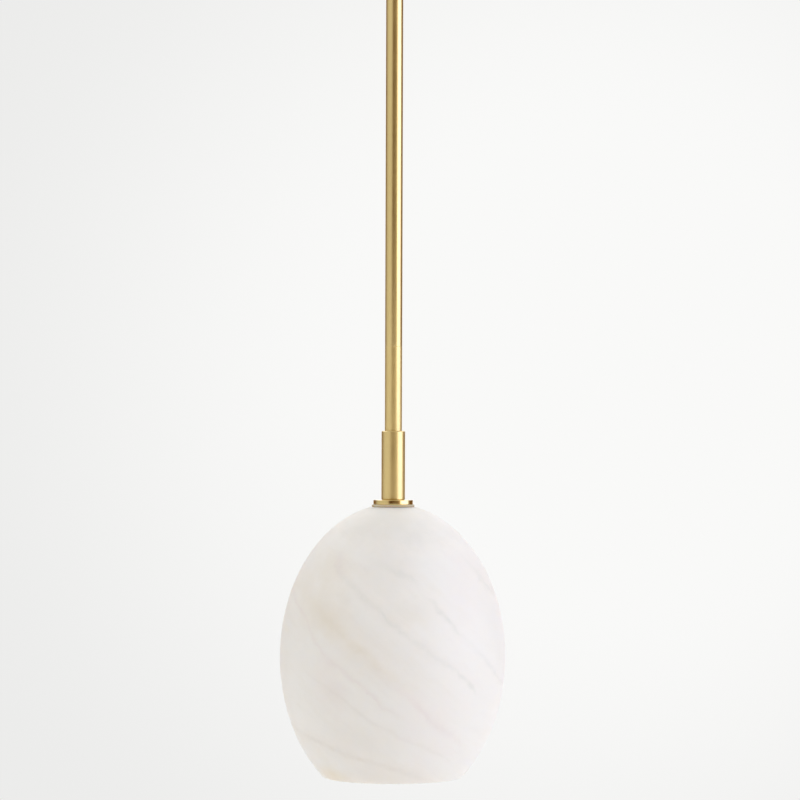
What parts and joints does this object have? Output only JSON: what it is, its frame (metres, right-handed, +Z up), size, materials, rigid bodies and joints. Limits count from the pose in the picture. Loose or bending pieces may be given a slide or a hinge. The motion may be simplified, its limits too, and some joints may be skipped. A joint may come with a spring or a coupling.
{
  "type": "pendant light",
  "caption": "Egg-shaped veined alabaster pendant shade, open below, hung on a slim brass stem from a round swivelling ceiling canopy.",
  "frame": {"origin": "on the stem's axis in the ceiling plane, at the middle of the ceiling cross's upper face", "axes": "+Z up along the stem into the ceiling; +X along the slots for the outlet box's screws; +Y along the arms that carry the canopy studs"},
  "size_m": [0.166, 0.166, 0.6716],
  "materials": {
    "brass": "polished, lightly lacquered",
    "zinc_steel": "zinc plated",
    "green_screw": "green passivated",
    "nylon": "natural nylon",
    "connector_plastic": "moulded, ribbed",
    "lead_insulation": "extruded sleeve",
    "clear_silicone": "clear, slightly cloudy",
    "black_rubber": "moulded",
    "alabaster": "honed, veined, slightly translucent",
    "porcelain": "white glaze",
    "lamp_ceramic": "white, unglazed",
    "pin_wire": "nickel plated wire",
    "frosted_glass": "frosted",
    "led_board": "white solder mask",
    "led_phosphor": "yellow phosphor"
  },
  "bodies": {
    "ceiling_mount": {"ceiling_cross": "zinc_steel", "ground_screw": "green_screw", "ground_ring": "zinc_steel", "canopy_studs": "zinc_steel", "cross_nuts": "zinc_steel", "canopy": "brass", "canopy_nuts": "brass", "stop_pin": "zinc_steel", "slip_washer": "nylon", "wire_connectors": "connector_plastic", "canopy_leads": "lead_insulation"},
    "swivel": {"swivel_housing": "brass", "stop_washer": "zinc_steel", "spring_washer": "zinc_steel", "swivel_nut": "brass", "swivel_cup": "brass", "trunnion_screws": "zinc_steel"},
    "stem": {"swivel_ball": "brass", "upper_rod": "brass", "rod_joint_nipple": "brass", "lower_rod": "brass", "lower_rod_nipple": "brass", "neck_sleeve": "brass", "main_nipple": "brass", "top_flange": "brass", "outer_gasket": "clear_silicone", "alabaster_shade": "alabaster", "inner_gasket": "black_rubber", "inner_washer": "zinc_steel", "lock_washer": "zinc_steel", "lock_nut": "brass", "holder_bracket": "zinc_steel", "earth_ring": "zinc_steel", "bracket_nut": "brass", "lampholder": "porcelain", "holder_screws": "zinc_steel", "lamp_contacts": "brass", "stem_leads": "lead_insulation"},
    "lamp": {"lamp_base": "lamp_ceramic", "lamp_pins": "pin_wire", "lamp_cover": "frosted_glass", "led_board": "led_board", "led_chips": "led_phosphor"}
  },
  "joints": [
    {"name": "swivel_turn", "type": "hinge", "parent": "ceiling_mount", "child": "swivel", "pos_m": [0, 0, -0.023], "axis": [0, 0, 1], "range_deg": [-165, 165]},
    {"name": "stem_tilt", "type": "hinge", "parent": "swivel", "child": "stem", "pos_m": [0, 0, -0.0373], "axis": [1, 0, 0], "range_deg": [-30, 30]},
    {"name": "lamp_pull", "type": "slide", "parent": "stem", "child": "lamp", "axis": [0, 0, -1], "range_m": [0, 0.012]}
  ]
}
